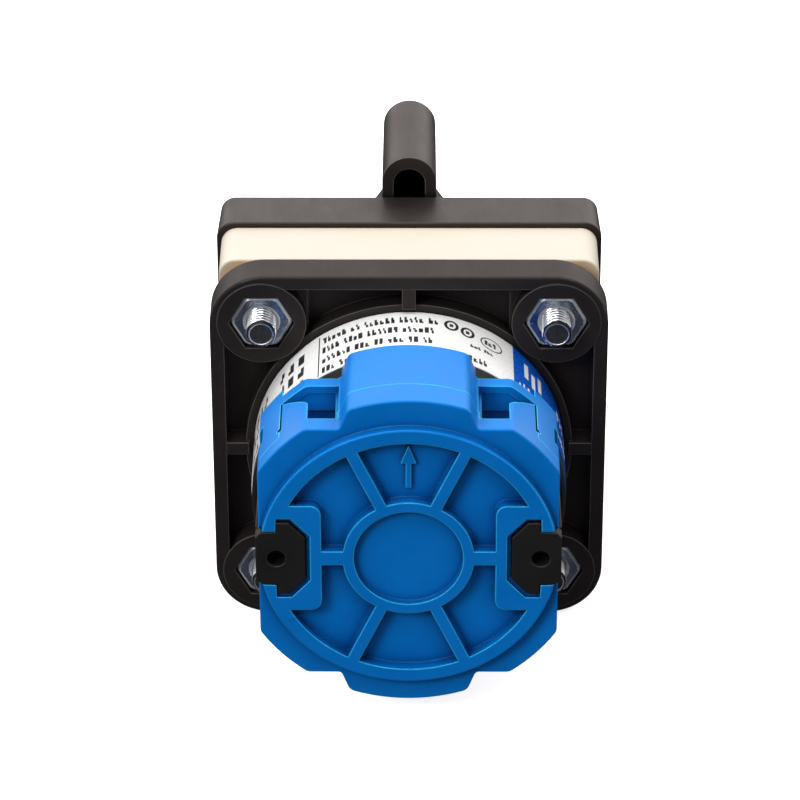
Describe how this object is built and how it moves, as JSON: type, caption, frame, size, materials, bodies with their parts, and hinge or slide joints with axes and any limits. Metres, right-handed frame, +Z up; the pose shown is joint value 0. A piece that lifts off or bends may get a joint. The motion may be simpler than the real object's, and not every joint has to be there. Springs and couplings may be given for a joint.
{
  "type": "rotary isolator switch",
  "caption": "Panel-mounting rotary isolator: an upright grip handle on a square bezel and spacer frame turns a cam that opens and closes the bridge contacts in a round contact block.",
  "frame": {"origin": "on the shaft axis, in the rear face plane of the mounting base, at the centre of the four mounting studs", "axes": "+Y along the shaft towards the contact block at the rear, +Z up along the handle at rest, +X to the right for someone who faces the handle"},
  "size_m": [0.065, 0.0859, 0.0711],
  "materials": {
    "black_plastic": "warm black thermoplastic, fine satin texture",
    "drum_plastic": "black thermoplastic, smooth satin",
    "ivory_plastic": "ivory thermoplastic, satin",
    "blue_plastic": "bright blue thermoplastic, satin moulding",
    "white_plastic": "natural white engineering plastic",
    "cam_plastic": "red-brown engineering plastic",
    "legend": "brushed legend plate with printed position marks",
    "label": "printed white film with a blue end field",
    "seal_rubber": "black elastomer",
    "zinc_steel": "bright zinc-plated steel",
    "black_steel": "burnished black steel",
    "spring_steel": "spring steel, drawn",
    "copper_alloy": "rolled copper alloy strip",
    "silver_contact": "silver alloy contact faces"
  },
  "bodies": {
    "switch_body": {"mounting_base": "black_plastic", "spacer_frame": "ivory_plastic", "panel_gasket": "seal_rubber", "front_bezel": "black_plastic", "legend_plate": "legend", "shaft_seal": "seal_rubber", "mounting_screws": "zinc_steel", "mounting_nuts": "zinc_steel", "base_screws": "zinc_steel", "detent_housing": "drum_plastic", "detent_cover": "white_plastic", "rating_label": "label", "contact_housing": "blue_plastic", "rear_cover": "blue_plastic", "tie_screws": "black_steel", "retaining_clip_left": "black_plastic", "retaining_clip_right": "black_plastic", "fixed_contact_upper_left": "copper_alloy", "fixed_contact_upper_right": "copper_alloy", "fixed_contact_lower_left": "copper_alloy", "fixed_contact_lower_right": "copper_alloy", "fixed_contact_tips": "silver_contact", "terminal_screws": "zinc_steel", "terminal_clamps": "zinc_steel", "terminal_nuts": "zinc_steel", "detent_spring_upper": "spring_steel", "detent_spring_lower": "spring_steel", "return_spring_upper": "spring_steel", "return_spring_lower": "spring_steel"},
    "rotor": {"handle": "black_plastic", "handle_screw": "zinc_steel", "handle_cap": "black_plastic", "drive_shaft": "zinc_steel", "retaining_ring": "zinc_steel", "detent_wheel": "white_plastic", "stop_disc": "white_plastic", "switching_cam": "cam_plastic"},
    "plunger_set_upper": {"plunger_upper": "white_plastic", "bridge_upper": "copper_alloy", "bridge_tips_upper": "silver_contact", "contact_spring_upper": "spring_steel"},
    "plunger_set_lower": {"plunger_lower": "white_plastic", "bridge_lower": "copper_alloy", "bridge_tips_lower": "silver_contact", "contact_spring_lower": "spring_steel"}
  },
  "joints": [
    {"name": "handle_turn", "type": "hinge", "parent": "switch_body", "child": "rotor", "pos_m": [0, 0, 0], "axis": [0, 1, 0], "range_deg": [0, 90], "deforming": ["detent_spring_upper", "detent_spring_lower"]},
    {"name": "plunger_lift_upper", "type": "slide", "parent": "switch_body", "child": "plunger_set_upper", "axis": [0, 0, -1], "range_m": [0, 0.003], "deforming": ["return_spring_upper"]},
    {"name": "plunger_lift_lower", "type": "slide", "parent": "switch_body", "child": "plunger_set_lower", "axis": [0, 0, 1], "range_m": [0, 0.003], "deforming": ["return_spring_lower"]}
  ],
  "couplings": [
    {"joint": "plunger_lift_upper", "follows": "handle_turn", "m_per_rad": 0.0019},
    {"joint": "plunger_lift_lower", "follows": "handle_turn", "m_per_rad": 0.0019}
  ]
}
